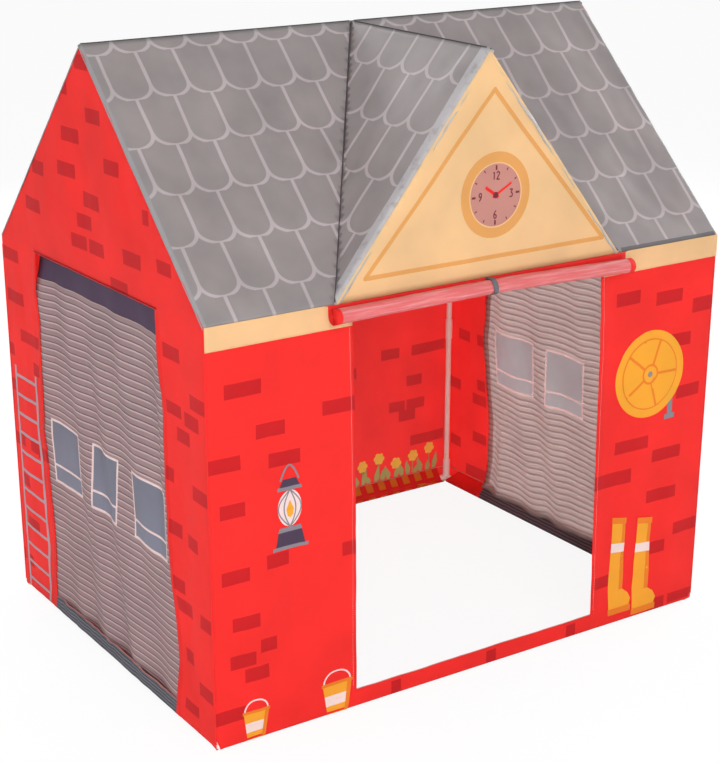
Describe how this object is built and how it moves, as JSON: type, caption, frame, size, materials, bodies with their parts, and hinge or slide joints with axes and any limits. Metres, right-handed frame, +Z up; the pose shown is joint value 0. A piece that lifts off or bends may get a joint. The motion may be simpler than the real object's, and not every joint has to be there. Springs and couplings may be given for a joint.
{
  "type": "play tent",
  "caption": "House-shaped pretend-play tent of printed cloth on a plug-together tube frame, with a dormer over an open front doorway, two side door curtains and a rolled-up front door.",
  "frame": {"origin": "on the floor under the middle of the whole tent, rolled front door included", "axes": "+Z up, -Y towards the front doorway and its dormer, +X to the right seen from the front, along the ridge"},
  "size_m": [1.05, 0.8049, 1.0999],
  "materials": {
    "red_cloth": "woven polyester, plain weave, faint sheen",
    "cream_cloth": "woven polyester, plain weave",
    "roof_cloth": "printed woven polyester, soft sheen",
    "door_cloth": "printed woven polyester",
    "lining_cloth": "coated inner side of the polyester, satin",
    "strap_cloth": "flat grey tape",
    "pole_plastic": "warm white plastic tube",
    "connector_plastic": "warm white moulded plastic"
  },
  "bodies": {
    "tent": {"upright_front_left_lower": "pole_plastic", "upright_front_left_upper": "pole_plastic", "rafter_front_left": "pole_plastic", "floor_rail_front_left": "pole_plastic", "upright_front_right_lower": "pole_plastic", "upright_front_right_upper": "pole_plastic", "rafter_front_right": "pole_plastic", "floor_rail_front_right": "pole_plastic", "upright_back_left_lower": "pole_plastic", "upright_back_left_upper": "pole_plastic", "rafter_back_left": "pole_plastic", "floor_rail_back_left": "pole_plastic", "upright_back_right_lower": "pole_plastic", "upright_back_right_upper": "pole_plastic", "rafter_back_right": "pole_plastic", "floor_rail_back_right": "pole_plastic", "floor_rail_left": "pole_plastic", "floor_rail_right": "pole_plastic", "eave_rail_left": "pole_plastic", "eave_rail_right": "pole_plastic", "eave_rail_front_left": "pole_plastic", "eave_rail_front_middle": "pole_plastic", "eave_rail_front_right": "pole_plastic", "eave_rail_back_left": "pole_plastic", "eave_rail_back_right": "pole_plastic", "ridge_rail_left": "pole_plastic", "ridge_rail_right": "pole_plastic", "dormer_rafter_left": "pole_plastic", "dormer_rafter_right": "pole_plastic", "dormer_ridge_rail": "pole_plastic", "connector_foot_front_left": "connector_plastic", "connector_foot_front_right": "connector_plastic", "connector_foot_back_left": "connector_plastic", "connector_foot_back_right": "connector_plastic", "connector_eave_front_left": "connector_plastic", "connector_eave_front_right": "connector_plastic", "connector_eave_back_left": "connector_plastic", "connector_eave_back_right": "connector_plastic", "connector_ridge_left": "connector_plastic", "connector_ridge_middle": "connector_plastic", "connector_ridge_right": "connector_plastic", "connector_dormer_peak": "connector_plastic", "connector_dormer_left": "connector_plastic", "connector_dormer_right": "connector_plastic", "front_wall": "red_cloth", "back_wall": "red_cloth", "left_wall": "red_cloth", "right_wall": "red_cloth", "roof_front_left": "roof_cloth", "roof_front_right": "roof_cloth", "roof_back": "roof_cloth", "dormer_roof_left": "roof_cloth", "dormer_roof_right": "roof_cloth", "fascia_left": "cream_cloth", "fascia_right": "cream_cloth", "pediment": "cream_cloth"},
    "left_curtain_body": {"left_curtain": "door_cloth"},
    "right_curtain_body": {"right_curtain": "door_cloth"},
    "rolled_door": {"door_roll": "lining_cloth", "tie_strap": "strap_cloth"}
  },
  "joints": [
    {"name": "left_curtain_swing", "type": "hinge", "parent": "tent", "child": "left_curtain_body", "pos_m": [-0.5152, 0.01595, 0.71737], "axis": [0, -1, 0], "range_deg": [0, 42]},
    {"name": "right_curtain_swing", "type": "hinge", "parent": "tent", "child": "right_curtain_body", "pos_m": [0.5152, 0.01595, 0.71737], "axis": [0, 1, 0], "range_deg": [0, 42]},
    {"name": "door_roll_swing", "type": "hinge", "parent": "tent", "child": "rolled_door", "pos_m": [0, -0.3711, 0.71802], "axis": [-1, 0, 0], "range_deg": [0, 70]}
  ]
}
